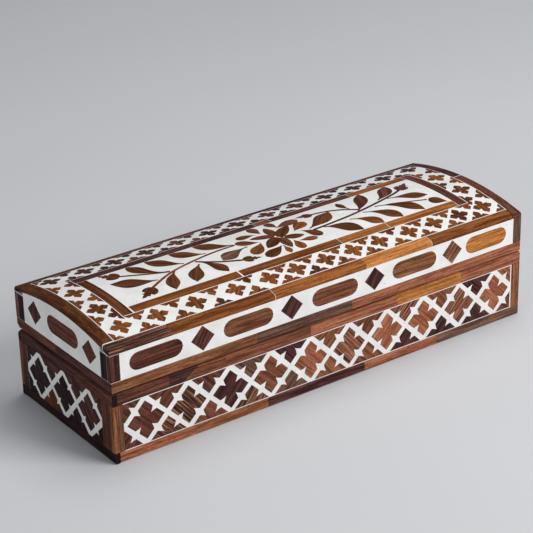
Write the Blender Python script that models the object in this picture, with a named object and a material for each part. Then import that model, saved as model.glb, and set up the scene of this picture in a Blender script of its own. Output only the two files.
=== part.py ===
"""An inlaid wooden box with an arched, hinged lid.

The box is built as a joiner builds it: two plain wooden carcasses, one for the base and one for
the lid, faced all round with battens, corner posts and inlay panels of one thickness. Two brass
butt hinges are let into the back rims, and the bevelled back edges stop the lid as it opens.

Metres, +Z up. X runs along the box, the front faces -Y, and the origin is at the middle of the
underside.
"""
import math

import bmesh
import bpy
from mathutils import Vector

# Driving dimensions
LENGTH = 0.305
WIDTH = 0.106
LID_EDGE_HEIGHT = 0.0717     # top of the lid along its front and back edges
LID_CROWN_HEIGHT = 0.0788    # top of the lid along its middle
FACING = 0.003               # thickness of the battens, posts and inlay panels
WALL = 0.0065                # thickness of the carcass walls behind them
GAP = 0.0003                 # glue line between two pieces

# Heights of the courses on the sides
BASE_STRIP_TOP = 0.0068      # bottom battens of the base
BASE_PANEL_TOP = 0.0367      # inlay of the base
BASE_RIM = 0.0440            # top battens of the base
LID_RIM = 0.0448             # underside of the lid's bottom battens
LID_STRIP_TOP = 0.0518       # top of the lid's bottom battens
SEAM_HEIGHT = 0.0444         # where the two carcasses meet
BOTTOM_BOARD = 0.004
FELT = 0.001
LID_BOARD = 0.004
EDGE_EASING = 0.0006         # small chamfer along the battens' outer edges

# Widths seen from above and from the sides
BASE_POST_FRONT = 0.0065     # width of a post on a long side, and on an end from the corner
BASE_POST_END = {"front": 0.0124, "back": 0.0090}
LID_POST_FRONT = 0.0065
LID_POST_END = {"front": 0.0100, "back": 0.0100}
SIDE_STRIP = 0.0062          # battens along the front and back edges of the top
END_STRIP = 0.0074           # arched battens over the ends
STRIP_END_FILL = 0.0014      # resin between a post and the end of an upper batten
FRAME_INSET = (0.0243, 0.0237)   # outside of the inner frame, from the ends and the sides
FRAME_BAR = 0.0070
TOP_ROUNDING = 0.0012
ROUNDING_SHARE = 0.3         # where the rounding has its middle point, as a share of its width
ARCH_STEP = 0.0065           # greatest spacing of the arch's sections

# Hinges
HINGE_X = 0.095
HINGE_LENGTH = 0.024
KNUCKLE_RADIUS = 0.0019
PIN_RADIUS = 0.00065
AXIS_INSET = 0.0028          # pin axis, in from the back face
LEAF_THICKNESS = 0.001
LEAF_INNER_EDGE = 0.0088     # leaf's inner edge, in from the back face
BEVEL_CLEARANCE = 0.00035    # from the pin axis to each bevelled edge
BED_CLEARANCE = 0.00045      # between a leaf or its barrel and the bed cut for it
SCREW_SPACING = 0.014
SCREW_HEAD_RADIUS = 0.00105
SCREW_SHANK_RADIUS = 0.00055
SCREW_LENGTH = 0.006
SCREW_HEAD_INSET = 0.00018   # from the seam to a screw's head
COUNTERSINK = 0.0007         # depth of the countersink in a leaf

AXIS_Y = WIDTH / 2 - AXIS_INSET
LID_FACING_TOP = LID_EDGE_HEIGHT - FACING - GAP
WALL_IN = FACING + GAP + WALL

ARCH_RISE = LID_CROWN_HEIGHT - LID_EDGE_HEIGHT
ARCH_RADIUS = (ARCH_RISE ** 2 + (WIDTH / 2) ** 2) / (2 * ARCH_RISE)


def arch(y):
    """Height of the lid's outer surface at a distance y from the box's middle."""
    return LID_CROWN_HEIGHT - ARCH_RADIUS + math.sqrt(ARCH_RADIUS ** 2 - y ** 2)


def clear_scene():
    for old in list(bpy.data.objects):
        bpy.data.objects.remove(old, do_unlink=True)


def finish(name, colour, roughness, metallic=0.0):
    """A plain material: its colour, roughness and metallic value."""
    material = bpy.data.materials.new(name)
    material.use_nodes = True
    shader = material.node_tree.nodes["Principled BSDF"]
    shader.inputs["Base Color"].default_value = (*colour, 1.0)
    shader.inputs["Roughness"].default_value = roughness
    shader.inputs["Metallic"].default_value = metallic
    return material


def add_piece(name, mesh_builder, material, parent=None):
    """Turn a bmesh into a named object, with its faces pointing out."""
    bmesh.ops.recalc_face_normals(mesh_builder, faces=mesh_builder.faces)
    mesh = bpy.data.meshes.new(name)
    mesh_builder.to_mesh(mesh)
    mesh_builder.free()
    piece = bpy.data.objects.new(name, mesh)
    bpy.context.collection.objects.link(piece)
    if material:
        mesh.materials.append(material)
    if parent:
        piece.parent = parent
        piece.location = -parent.location
    return piece


def prism(name, outline, ends, place, material, parent=None):
    """Extrude an outline of (u, v) points between two ends, and place each (u, v, t) point.

    An end is a number, or a function of the outline's first coordinate for a mitre.
    """
    builder = bmesh.new()
    loops = []
    for end in ends:
        height = end if callable(end) else (lambda u, fixed=end: fixed)
        loops.append([builder.verts.new(place(u, v, height(u))) for u, v in outline])
    builder.faces.new(loops[0])
    builder.faces.new(loops[1])
    count = len(outline)
    for i in range(count):
        j = (i + 1) % count
        builder.faces.new((loops[0][i], loops[0][j], loops[1][j], loops[1][i]))
    return add_piece(name, builder, material, parent)


def on_side(side):
    """A function that turns (depth into the box, height, distance along) into a point."""
    half_length, half_width = LENGTH / 2, WIDTH / 2
    return {
        "front": lambda depth, z, along: Vector((along, depth - half_width, z)),
        "back": lambda depth, z, along: Vector((along, half_width - depth, z)),
        "left": lambda depth, z, along: Vector((depth - half_length, along, z)),
        "right": lambda depth, z, along: Vector((half_length - depth, along, z)),
    }[side]


def upright(u, v, t):
    return Vector((u, v, t))


def along_x(u, v, t):
    return Vector((t, u, v))


def rectangle(u0, u1, v0, v1):
    return [(u0, v0), (u1, v0), (u1, v1), (u0, v1)]


def course(low, high, ease_low=False, ease_high=False):
    """Section of a facing piece, its outer edges eased where asked."""
    section = [(FACING, low)]
    section += [(EDGE_EASING, low), (0, low + EDGE_EASING)] if ease_low else [(0, low)]
    section += [(0, high - EDGE_EASING), (EDGE_EASING, high)] if ease_high else [(0, high)]
    return section + [(FACING, high)]


def half_extent(side):
    return LENGTH / 2 if side in ("front", "back") else WIDTH / 2


def steps_between(start, end, longest=ARCH_STEP):
    """Evenly spaced values from start to end, no further apart than the longest step."""
    count = max(1, math.ceil(round((end - start) / longest, 9)))
    return [start + (end - start) * i / count for i in range(count + 1)]


def chain_of(values, longest=ARCH_STEP):
    """Evenly filled values through each given value in turn."""
    chain = [values[0]]
    for start, end in zip(values[:-1], values[1:]):
        chain += steps_between(start, end, longest)[1:]
    return chain


def edge_drop(distance):
    """How far a rounded edge falls at a distance in from it."""
    inward = max(0.0, TOP_ROUNDING - distance)
    return TOP_ROUNDING - math.sqrt(TOP_ROUNDING ** 2 - inward ** 2)


def rounded_from(edge, inner):
    """Values from a rounded edge to an inner line, closer together on the rounding."""
    sign = 1 if inner > edge else -1
    return [edge, edge + sign * ROUNDING_SHARE * TOP_ROUNDING, edge + sign * TOP_ROUNDING, inner]


def arched_piece(name, xs, ys, material, parent, outer_edges=(), hole=None,
                 top=0.0, thickness=FACING):
    """A piece that follows the arch, over a grid of xs and ys.

    outer_edges lists the rounded edges as ("x" or "y", value). hole is ((x0, x1), (y0, y1)).
    top is the depth of its upper face below the arch.
    """
    def surface(x, y):
        drops = [edge_drop(abs((x if way == "x" else y) - value)) for way, value in outer_edges]
        return arch(y) - top - max(drops, default=0.0)

    def solid(i, j):
        if hole is None:
            return True
        x = (xs[i] + xs[i + 1]) / 2
        y = (ys[j] + ys[j + 1]) / 2
        return not (hole[0][0] < x < hole[0][1] and hole[1][0] < y < hole[1][1])

    cells = [(i, j) for i in range(len(xs) - 1) for j in range(len(ys) - 1) if solid(i, j)]
    corners = sorted({(i + a, j + b) for i, j in cells for a in (0, 1) for b in (0, 1)})
    builder = bmesh.new()
    upper = {c: builder.verts.new((xs[c[0]], ys[c[1]], surface(xs[c[0]], ys[c[1]])))
             for c in corners}
    lower = {c: builder.verts.new((xs[c[0]], ys[c[1]], arch(ys[c[1]]) - top - thickness))
             for c in corners}
    edge_use = {}
    for i, j in cells:
        ring = [(i, j), (i + 1, j), (i + 1, j + 1), (i, j + 1)]
        builder.faces.new([upper[c] for c in ring])
        builder.faces.new([lower[c] for c in reversed(ring)])
        for edge in zip(ring, ring[1:] + ring[:1]):
            edge_use.setdefault(tuple(sorted(edge)), []).append(edge)
    for uses in edge_use.values():
        if len(uses) == 1:
            a, b = uses[0]
            builder.faces.new((upper[b], upper[a], lower[a], lower[b]))
    return add_piece(name, builder, material, parent)


def under_arch(y0, y1, bottom, depth):
    """Outline of an upright end piece in (y, z): flat below, and depth under the arch above."""
    crown = [(y, arch(y) - depth) for y in reversed(steps_between(y0, y1))]
    return [(y0, bottom), (y1, bottom)] + crown


def cylinder(name, radius, x0, x1, y, z, material=None, sides=16):
    """A round bar along X."""
    outline = [(y + radius * math.cos(2 * math.pi * (i + 0.5) / sides),
                z + radius * math.sin(2 * math.pi * (i + 0.5) / sides)) for i in range(sides)]
    return prism(name, outline, (x0, x1), along_x, material)


def turned(name, profile, x, y, material=None, sides=16, parent=None):
    """A solid turned round a vertical line, from its (radius, height) profile."""
    builder = bmesh.new()
    rings = [[builder.verts.new((x + radius * math.cos(2 * math.pi * i / sides),
                                 y + radius * math.sin(2 * math.pi * i / sides), z))
              for i in range(sides)] for radius, z in profile]
    builder.faces.new(rings[0])
    builder.faces.new(rings[-1])
    for lower, upper in zip(rings[:-1], rings[1:]):
        for i in range(sides):
            j = (i + 1) % sides
            builder.faces.new((lower[i], lower[j], upper[j], upper[i]))
    return add_piece(name, builder, material, parent)


def combine(piece, tool, operation="DIFFERENCE"):
    """Cut or join a piece with a tool, which is kept as a hidden guide."""
    tool.hide_render = True
    tool.display_type = "WIRE"
    step = piece.modifiers.new(tool.name, "BOOLEAN")
    step.operation = operation
    step.object = tool
    step.solver = "EXACT"
    return piece


def build_base(wood, inlay, felt):
    """Carcass, bottom board, lining and facings of the base. Returns the pieces by name."""
    pieces = {}
    half_length, half_width = LENGTH / 2, WIDTH / 2
    inside = FACING + GAP
    wall = rectangle(inside, WALL_IN, BOTTOM_BOARD + GAP, SEAM_HEIGHT - GAP / 2)
    for side in ("front", "back", "left", "right"):
        place = on_side(side)
        long_side = side in ("front", "back")
        reach = half_extent(side)
        wall_end = reach - inside if long_side else reach - WALL_IN - GAP
        # Each batten butts against the next one round and runs through to the other corner.
        ahead = side in ("front", "right")
        strip_ends = (inside - reach, reach) if ahead else (-reach, reach - inside)
        panel_ends = between_posts(side, BASE_POST_FRONT, BASE_POST_END)
        bottom_course = course(0, BASE_STRIP_TOP - GAP / 2, ease_low=True)
        top_course = course(BASE_PANEL_TOP + GAP / 2, BASE_RIM, ease_high=side != "back")
        panel = course(BASE_STRIP_TOP + GAP / 2, BASE_PANEL_TOP - GAP / 2)
        for name, section, ends, material in (
                (f"base_{side}_wall", wall, (-wall_end, wall_end), wood["carcass"]),
                (f"base_bottom_strip_{side}", bottom_course, strip_ends, wood["batten"]),
                (f"base_top_strip_{side}", top_course, strip_ends, wood["batten"]),
                (f"base_{side}_inlay", panel, panel_ends, inlay)):
            pieces[name] = prism(name, section, ends, place, material)
    base_posts(wood["post"])
    board = rectangle(inside - half_length, half_length - inside,
                      inside - half_width, half_width - inside)
    prism("base_bottom_board", board, (0, BOTTOM_BOARD), upright, wood["carcass"])
    edge = WALL_IN + GAP
    lining = rectangle(edge - half_length, half_length - edge, edge - half_width, half_width - edge)
    prism("base_floor_lining", lining, (BOTTOM_BOARD + GAP, BOTTOM_BOARD + GAP + FELT), upright, felt)
    return pieces


def between_posts(side, post_front, post_end):
    """Where a side's inlay panel starts and ends, between its two corner posts."""
    if side in ("front", "back"):
        reach = LENGTH / 2 - post_front - GAP
        return -reach, reach
    return post_end["front"] + GAP - WIDTH / 2, WIDTH / 2 - post_end["back"] - GAP


def corner_outline(sign_x, sign_y, post_front, post_end):
    """L-shaped section of a corner post, one leg on a long side and one on an end."""
    x, y = sign_x * LENGTH / 2, sign_y * WIDTH / 2
    along_end = post_end["front" if sign_y < 0 else "back"]
    legs = [(0, 0), (post_front, 0), (post_front, FACING), (FACING, FACING),
            (FACING, along_end), (0, along_end)]
    return [(x - sign_x * u, y - sign_y * v) for u, v in legs]


CORNERS = {"front_left": (-1, -1), "front_right": (1, -1),
           "back_left": (-1, 1), "back_right": (1, 1)}


def base_posts(material):
    for corner, (sign_x, sign_y) in CORNERS.items():
        outline = corner_outline(sign_x, sign_y, BASE_POST_FRONT, BASE_POST_END)
        heights = (BASE_STRIP_TOP + GAP / 2, BASE_PANEL_TOP - GAP / 2)
        prism(f"base_corner_post_{corner}", outline, heights, upright, material)


def build_lid(wood, inlay, pivot):
    """Carcass, arched board and facings of the lid. Returns the pieces by name."""
    pieces = {}
    half_length, half_width = LENGTH / 2, WIDTH / 2
    inside = FACING + GAP
    wall_top = FACING + GAP + LID_BOARD + GAP
    wall_low = SEAM_HEIGHT + GAP / 2
    mitre_gap = GAP / math.sqrt(2)
    for side in ("front", "back", "left", "right"):
        place = on_side(side)
        long_side = side in ("front", "back")
        reach = half_extent(side)
        strip = course(LID_RIM, LID_STRIP_TOP - GAP / 2, ease_low=side != "back")
        ends = (lambda depth, r=reach: depth + mitre_gap - r,
                lambda depth, r=reach: r - depth - mitre_gap)
        name = f"lid_bottom_strip_{side}"
        pieces[name] = prism(name, strip, ends, place, wood["batten"], pivot)
        if long_side:
            outer_y, inner_y = half_width - inside, half_width - WALL_IN
            wall = [(inside, wall_low), (inside, arch(outer_y) - wall_top),
                    (WALL_IN, arch(inner_y) - wall_top), (WALL_IN, wall_low)]
            name = f"lid_{side}_wall"
            wall_end = half_length - inside
            pieces[name] = prism(name, wall, (-wall_end, wall_end), place, wood["carcass"], pivot)
            panel = course(LID_STRIP_TOP + GAP / 2, LID_FACING_TOP)
            panel_ends = between_posts(side, LID_POST_FRONT, LID_POST_END)
            prism(f"lid_{side}_inlay", panel, panel_ends, place, inlay, pivot)
        else:
            lid_end(side, wood, inlay, pivot, wall_low, wall_top)
    for corner, (sign_x, sign_y) in CORNERS.items():
        outline = corner_outline(sign_x, sign_y, LID_POST_FRONT, LID_POST_END)
        heights = (LID_STRIP_TOP + GAP / 2, LID_FACING_TOP)
        prism(f"lid_corner_post_{corner}", outline, heights, upright, wood["post"], pivot)
    build_top(wood, inlay, pivot)
    return pieces


def lid_end(side, wood, inlay, pivot, wall_low, wall_top):
    """Arched end wall of the lid and the inlay panel that faces it."""
    place = on_side(side)

    def placed(along, z, depth):
        return place(depth, z, along)

    wall_reach = WIDTH / 2 - WALL_IN - GAP
    wall = under_arch(-wall_reach, wall_reach, wall_low, wall_top)
    prism(f"lid_{side}_wall", wall, (FACING + GAP, WALL_IN), placed, wood["carcass"], pivot)
    panel_low, panel_high = between_posts(side, LID_POST_FRONT, LID_POST_END)
    panel = under_arch(panel_low, panel_high, LID_STRIP_TOP + GAP / 2, FACING + GAP)
    prism(f"lid_{side}_inlay", panel, (0, FACING), placed, inlay, pivot)


class Ring:
    """A rectangle on the top, given by its distance in from the box's ends and sides."""

    def __init__(self, from_end, from_side):
        self.x = LENGTH / 2 - from_end
        self.y = WIDTH / 2 - from_side

    def inset(self, distance):
        return Ring(LENGTH / 2 - self.x + distance, WIDTH / 2 - self.y + distance)


def build_top(wood, inlay, pivot):
    """The arched board, the battens round its edge, and the three rings of inlay within them."""
    half_length, half_width = LENGTH / 2, WIDTH / 2
    inside = FACING + GAP
    board_x, board_y = half_length - inside, half_width - inside
    arched_piece("lid_top_board", [-board_x, board_x], steps_between(-board_y, board_y),
                 wood["carcass"], pivot, top=inside, thickness=LID_BOARD)

    # Long battens run through at the left end and stop short of the right-hand posts.
    stop_x = half_length - LID_POST_FRONT - STRIP_END_FILL
    long_xs = rounded_from(-half_length, -half_length + END_STRIP) + [stop_x]
    for side, sign in (("front", -1), ("back", 1)):
        edge = sign * half_width
        ys = sorted(rounded_from(edge, edge - sign * SIDE_STRIP))
        arched_piece(f"lid_upper_strip_{side}", long_xs, ys, wood["batten"], pivot,
                     outer_edges=(("x", -half_length), ("y", edge)))

    left_y = half_width - SIDE_STRIP - GAP
    arched_piece("lid_arch_strip_left", rounded_from(-half_length, -half_length + END_STRIP),
                 steps_between(-left_y, left_y), wood["batten"], pivot,
                 outer_edges=(("x", -half_length),))
    right_ys = chain_of(rounded_from(-half_width, 0) + rounded_from(half_width, 0)[-2::-1])
    right_xs = sorted(rounded_from(half_length, half_length - END_STRIP))
    arched_piece("lid_arch_strip_right", right_xs, right_ys, wood["batten"], pivot,
                 outer_edges=(("x", half_length), ("y", -half_width), ("y", half_width)))

    border = Ring(END_STRIP + GAP, SIDE_STRIP + GAP)
    frame_outside = Ring(*FRAME_INSET)
    frame_inside = frame_outside.inset(FRAME_BAR)
    ringed_piece("lid_border_inlay", border, frame_outside.inset(-GAP), inlay, pivot)
    ringed_piece("lid_inner_frame", frame_outside, frame_inside, wood["batten"], pivot)
    centre = frame_inside.inset(GAP)
    arched_piece("lid_centre_inlay", [-centre.x, centre.x], steps_between(-centre.y, centre.y),
                 inlay, pivot)


def ringed_piece(name, outer, inner, material, pivot):
    """A rectangular ring that follows the arch."""
    xs = [-outer.x, -inner.x, inner.x, outer.x]
    ys = chain_of([-outer.y, -inner.y, inner.y, outer.y])
    arched_piece(name, xs, ys, material, pivot, hole=((-inner.x, inner.x), (-inner.y, inner.y)))


def bevel_back_edges(strips, up):
    """Bevel the back rim edge of three battens at 45 degrees, just clear of the pin axis.

    up is -1 for the base, whose bevel falls away below the axis, and 1 for the lid's.
    """
    offset = BEVEL_CLEARANCE * math.sqrt(2)
    past = WIDTH / 2 + FACING
    outline = [(AXIS_Y - offset - FACING, SEAM_HEIGHT - up * FACING),
               (past, SEAM_HEIGHT + up * (past - AXIS_Y + offset)),
               (past, SEAM_HEIGHT - up * FACING)]
    reach = LENGTH / 2 + FACING
    tool = prism("guide_bevel_base" if up < 0 else "guide_bevel_lid", outline, (-reach, reach),
                 along_x, None)
    for strip in strips:
        combine(strip, tool)


def mortise(name, x, up):
    """Tool that lets a hinge into a back rim: a shallow bed for the leaf, deeper for the barrel."""
    back = WIDTH / 2
    bed = LEAF_THICKNESS + BED_CLEARANCE
    pocket = KNUCKLE_RADIUS + GAP
    barrel_edge = AXIS_Y - KNUCKLE_RADIUS - BED_CLEARANCE
    outline = [(back - LEAF_INNER_EDGE - GAP, up * bed), (barrel_edge, up * bed),
               (barrel_edge, up * pocket), (back + FACING, up * pocket),
               (back + FACING, -up * FACING / 2), (back - LEAF_INNER_EDGE - GAP, -up * FACING / 2)]
    outline = [(y, SEAM_HEIGHT + rise) for y, rise in outline]
    half = HINGE_LENGTH / 2 + GAP
    return prism(name, outline, (x - half, x + half), along_x, None)


def leaf(name, x, up, own_knuckles, material, parent):
    """A hinge leaf: a plate with tabs that run into its own knuckles, bored for the pin."""
    low = SEAM_HEIGHT + up * GAP / 2
    knuckle = HINGE_LENGTH / 3
    inner = WIDTH / 2 - LEAF_INNER_EDGE
    root = AXIS_Y - KNUCKLE_RADIUS - GAP
    tab_end = AXIS_Y - (KNUCKLE_RADIUS + PIN_RADIUS) / 2
    start = x - HINGE_LENGTH / 2
    spans = [(start + i * knuckle + (GAP / 2 if i else 0),
              start + (i + 1) * knuckle - (GAP / 2 if i < 2 else 0)) for i in own_knuckles]
    outline = [(start, inner), (start + HINGE_LENGTH, inner), (start + HINGE_LENGTH, root)]
    for x0, x1 in reversed(spans):
        outline += [(x1, root), (x1, tab_end), (x0, tab_end), (x0, root)]
    outline.append((start, root))
    outline = [point for i, point in enumerate(outline) if point != outline[i - 1]]
    plate = prism(name, outline, (low, low + up * LEAF_THICKNESS), upright, material, parent)
    for i, (x0, x1) in enumerate(spans):
        barrel = cylinder(f"guide_{name}_knuckle_{i}", KNUCKLE_RADIUS, x0, x1, AXIS_Y, SEAM_HEIGHT)
        combine(plate, barrel, "UNION")
    bore = cylinder(f"guide_{name}_bore", PIN_RADIUS + GAP, start - GAP, start + HINGE_LENGTH + GAP,
                    AXIS_Y, SEAM_HEIGHT)
    return combine(plate, bore)


def screw_profile(up, clearance=0.0):
    """Radius and height of a countersunk screw from its head inwards, or of the hole it needs."""
    head = SEAM_HEIGHT + up * (-clearance if clearance else SCREW_HEAD_INSET)
    sink = SEAM_HEIGHT + up * (GAP / 2 + COUNTERSINK)
    tip = SEAM_HEIGHT + up * (SCREW_LENGTH + clearance)
    return [(SCREW_HEAD_RADIUS + clearance, head), (SCREW_SHANK_RADIUS + clearance, sink),
            (SCREW_SHANK_RADIUS + clearance, tip)]


def build_hinges(brass, walls, strips, pivot):
    """Two butt hinges, let into the back walls and battens and screwed down."""
    sides = {"base": (-1, (0, 2), None), "lid": (1, (1,), pivot)}
    screw_y = WIDTH / 2 - (LEAF_INNER_EDGE + AXIS_INSET + KNUCKLE_RADIUS + GAP) / 2
    for hinge, x in (("left", -HINGE_X), ("right", HINGE_X)):
        for body, (up, knuckles, parent) in sides.items():
            recess = mortise(f"guide_{hinge}_mortise_{body}", x, up)
            combine(walls[body], recess)
            combine(strips[body], recess)
            plate = leaf(f"hinge_{hinge}_{body}_leaf", x, up, knuckles, brass, parent)
            for end, offset in (("outer", -1), ("inner", 1)):
                screw_x = x + offset * SCREW_SPACING / 2 * (1 if hinge == "left" else -1)
                hole = turned(f"guide_{hinge}_{body}_{end}_hole", screw_profile(up, GAP),
                              screw_x, screw_y)
                combine(plate, hole)
                combine(walls[body], hole)
                turned(f"hinge_{hinge}_{body}_screw_{end}", screw_profile(up), screw_x, screw_y,
                       brass, parent=parent)
        pin_half = HINGE_LENGTH / 2
        cylinder(f"hinge_{hinge}_pin", PIN_RADIUS, x - pin_half, x + pin_half,
                 AXIS_Y, SEAM_HEIGHT, brass)


def main():
    clear_scene()
    wood = {"carcass": finish("carcass_beech", (0.40, 0.24, 0.12), 0.6),
            "batten": finish("batten_walnut", (0.17, 0.065, 0.03), 0.45),
            "post": finish("post_walnut", (0.10, 0.035, 0.02), 0.45)}
    inlay = finish("bone_resin", (0.80, 0.80, 0.77), 0.4)
    felt = finish("lining_felt", (0.16, 0.01, 0.015), 0.95)
    brass = finish("hinge_brass", (0.75, 0.52, 0.22), 0.35, metallic=1.0)

    pivot = bpy.data.objects.new("lid_pivot", None)
    pivot.location = (0, AXIS_Y, SEAM_HEIGHT)
    bpy.context.collection.objects.link(pivot)

    base = build_base(wood, inlay, felt)
    lid = build_lid(wood, inlay, pivot)
    bevel_back_edges([base[f"base_top_strip_{side}"] for side in ("back", "left", "right")], -1)
    bevel_back_edges([lid[f"lid_bottom_strip_{side}"] for side in ("back", "left", "right")], 1)
    walls = {"base": base["base_back_wall"], "lid": lid["lid_back_wall"]}
    strips = {"base": base["base_top_strip_back"], "lid": lid["lid_bottom_strip_back"]}
    build_hinges(brass, walls, strips, pivot)


main()
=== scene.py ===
# %% [markdown]
# # An inlaid wooden box
# The real box is a plain wooden carcass that is faced all over. Battens and posts of mixed
# hardwoods run round every edge, and the panels between them are veneer tiles in a bone-white
# resin, poured round them and sanded flush. The carcass, the hinges and every size come from
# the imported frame, so this file only adds what the eye sees.

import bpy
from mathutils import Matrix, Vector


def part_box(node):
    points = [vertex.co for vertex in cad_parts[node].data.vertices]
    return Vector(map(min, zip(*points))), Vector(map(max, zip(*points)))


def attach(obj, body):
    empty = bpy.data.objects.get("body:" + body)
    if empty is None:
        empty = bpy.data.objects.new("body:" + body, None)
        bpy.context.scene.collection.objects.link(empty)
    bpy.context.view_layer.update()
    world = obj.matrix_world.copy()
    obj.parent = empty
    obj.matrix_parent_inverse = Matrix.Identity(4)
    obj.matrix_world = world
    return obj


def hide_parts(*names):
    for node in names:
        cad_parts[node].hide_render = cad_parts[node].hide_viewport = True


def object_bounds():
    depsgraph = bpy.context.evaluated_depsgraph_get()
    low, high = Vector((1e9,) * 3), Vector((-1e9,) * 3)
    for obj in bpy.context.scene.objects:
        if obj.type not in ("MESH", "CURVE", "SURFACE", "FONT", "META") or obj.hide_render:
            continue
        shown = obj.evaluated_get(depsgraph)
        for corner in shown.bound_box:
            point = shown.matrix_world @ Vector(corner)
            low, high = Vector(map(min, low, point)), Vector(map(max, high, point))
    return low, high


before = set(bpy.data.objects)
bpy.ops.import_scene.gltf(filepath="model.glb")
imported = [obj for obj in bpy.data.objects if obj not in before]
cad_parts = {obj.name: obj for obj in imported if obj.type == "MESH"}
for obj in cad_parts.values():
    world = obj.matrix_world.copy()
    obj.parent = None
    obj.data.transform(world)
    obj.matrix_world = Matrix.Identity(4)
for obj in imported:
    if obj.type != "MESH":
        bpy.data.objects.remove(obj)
cad_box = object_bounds()
print("CAD box in metres:", cad_box)

# %% Units, and the size of the box
import math
import random

import bpy
from mathutils import Matrix, Vector

MM = 0.001
LENGTH = (cad_box[1].x - cad_box[0].x) / MM
WIDTH = (cad_box[1].y - cad_box[0].y) / MM
dice = random.Random(11)
print(f"the box is {LENGTH:.1f} mm long and {WIDTH:.1f} mm wide")

# %% [markdown]
# ## Selecting, copying and sawing
# A maker planes a long strip first and saws it to length afterwards. Here a strip is copied
# from the frame, its loose triangles are merged, and a bisect saws it through and closes the
# cut. An operator acts on all that is selected, so a small function selects what is wanted.

# %% The bench tools
MERGE = 1e-6


def only(*objects):
    """Selects these objects alone, or nothing, and makes the first one active."""
    bpy.ops.object.select_all(action="DESELECT")
    for obj in reversed(objects):
        obj.select_set(True)
        bpy.context.view_layer.objects.active = obj


def start_editing(obj):
    """Edit mode on one object, with its whole mesh selected."""
    only(obj)
    bpy.ops.object.mode_set(mode="EDIT")
    bpy.ops.mesh.select_all(action="SELECT")


def stop_editing():
    bpy.ops.object.mode_set(mode="OBJECT")


def copy_of(node, name):
    """A new object with a CAD node's shape, its loose triangles merged."""
    copy = bpy.data.objects.new(name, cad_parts[node].data.copy())
    bpy.context.collection.objects.link(copy)
    copy.data.materials.clear()
    start_editing(copy)
    bpy.ops.mesh.customdata_custom_splitnormals_clear()
    bpy.ops.mesh.remove_doubles(threshold=MERGE)
    stop_editing()
    return copy


def saw(obj, point, away):
    """Saws obj through point, drops the side that away points to, and closes the cut."""
    start_editing(obj)
    bpy.ops.mesh.bisect(plane_co=point, plane_no=away, use_fill=True, clear_outer=True)
    stop_editing()


def modify(obj, kind, **settings):
    """Adds a modifier, sets it and applies it."""
    only(obj)
    modifier = obj.modifiers.new(kind, kind)
    for name, value in settings.items():
        setattr(modifier, name, value)
    bpy.ops.object.modifier_apply(modifier=kind)


# %% [markdown]
# ## Where the grain runs
# Every strip and tile is cut from a different plank. One way is a material for each piece; a
# lighter way is to store on each point of the mesh where it lay in its plank, with x along
# the fibres, and to let one wood material read that. A stored tone makes a piece paler or
# darker.

# %% Marking a piece with its grain
PLANK = 0.4
CREASE = math.radians(30)


def cut_from(kind, obj, along, tone):
    """Gives a piece its wood, and stores its place in the plank, in metres, and its own tone."""
    obj.data.materials.append(woods[kind])
    along = Vector(along).normalized()
    across = along.orthogonal().normalized()
    through = along.cross(across)
    plank = Vector([dice.uniform(-PLANK, PLANK) for _ in range(3)])
    grain = obj.data.attributes.new("grain", "FLOAT_VECTOR", "POINT")
    for vertex, stored in zip(obj.data.vertices, grain.data):
        place = (vertex.co.dot(along), vertex.co.dot(across), vertex.co.dot(through))
        stored.vector = Vector(place) + plank
    tones = obj.data.attributes.new("tone", "FLOAT", "POINT")
    for stored in tones.data:
        stored.value = tone


def set_in(obj, body, slot, *stands_for):
    """Hands a finished piece over to the body that it moves with."""
    only(obj)
    bpy.ops.object.shade_smooth_by_angle(angle=CREASE)
    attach(obj, body)
    if stands_for:
        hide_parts(*stands_for)
    return obj


# %% [markdown]
# ## Node trees in plain steps
# All the materials are procedural. One function adds a node with its settings and links, so
# that a tree reads like a recipe. Another turns a colour written as an sRGB hex value into
# the linear numbers that a shader works in.

# %% Adding a node, and reading a colour


def fill(node, *values, **named):
    """Fills a node's inputs, in order or by name with _ for a space, and links the sockets."""
    inputs = [socket for socket in node.inputs if socket.enabled][:len(values)]
    inputs += [node.inputs[name.replace("_", " ")] for name in named]
    for socket, value in zip(inputs, (*values, *named.values())):
        if isinstance(value, bpy.types.NodeSocket):
            node.id_data.links.new(value, socket)
        else:
            socket.default_value = value


def add(tree, kind, *values, **named):
    """Adds a node and gives its first output. Names in small letters are its own settings."""
    node = tree.nodes.new("ShaderNode" + kind)
    for setting in [name for name in named if name.islower()]:
        setattr(node, setting, named.pop(setting))
    fill(node, *values, **named)
    return next(socket for socket in node.outputs if socket.enabled)


def linear(hex_colour):
    """An sRGB hex colour as linear red, green, blue and alpha."""
    channels = [int(hex_colour[i:i + 2], 16) / 255 for i in (1, 3, 5)]
    return [c / 12.92 if c <= 0.04045 else ((c + 0.055) / 1.055) ** 2.4 for c in channels] + [1]


def new_material(name):
    """Gives an empty material, its tree and its shader."""
    material = bpy.data.materials.new(name)
    material.use_nodes = True
    return material, material.node_tree, material.node_tree.nodes["Principled BSDF"]


# %% [markdown]
# ## Oiled hardwood
# The battens and tiles are offcuts of sheesham, rosewood, walnut and teak, planed, sanded to
# about 240 grit and wiped with oil. The eye gets figure a millimetre or two across, finer
# fibres, and short dark pores that dent the surface, all drawn out along the grain. Fibres
# are really about 0.1 mm wide, so they are drawn at 0.5 mm to show. Open fibres break up the
# shine of so thin a coat of oil, so the specular level is well below a polished surface's.

# %% One wood material for each kind of wood
FIGURE_LENGTH, FIGURE_WIDTH = 34 * MM, 1.7 * MM
STRIPE_WIDTH = 0.9 * MM
FIBRE_LENGTH, FIBRE_WIDTH = 8 * MM, 0.5 * MM
PORE_LENGTH, PORE_WIDTH = 2.6 * MM, 0.34 * MM
PORE_DEPTH = 0.05 * MM
BAND_EDGE = 0.14


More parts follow.
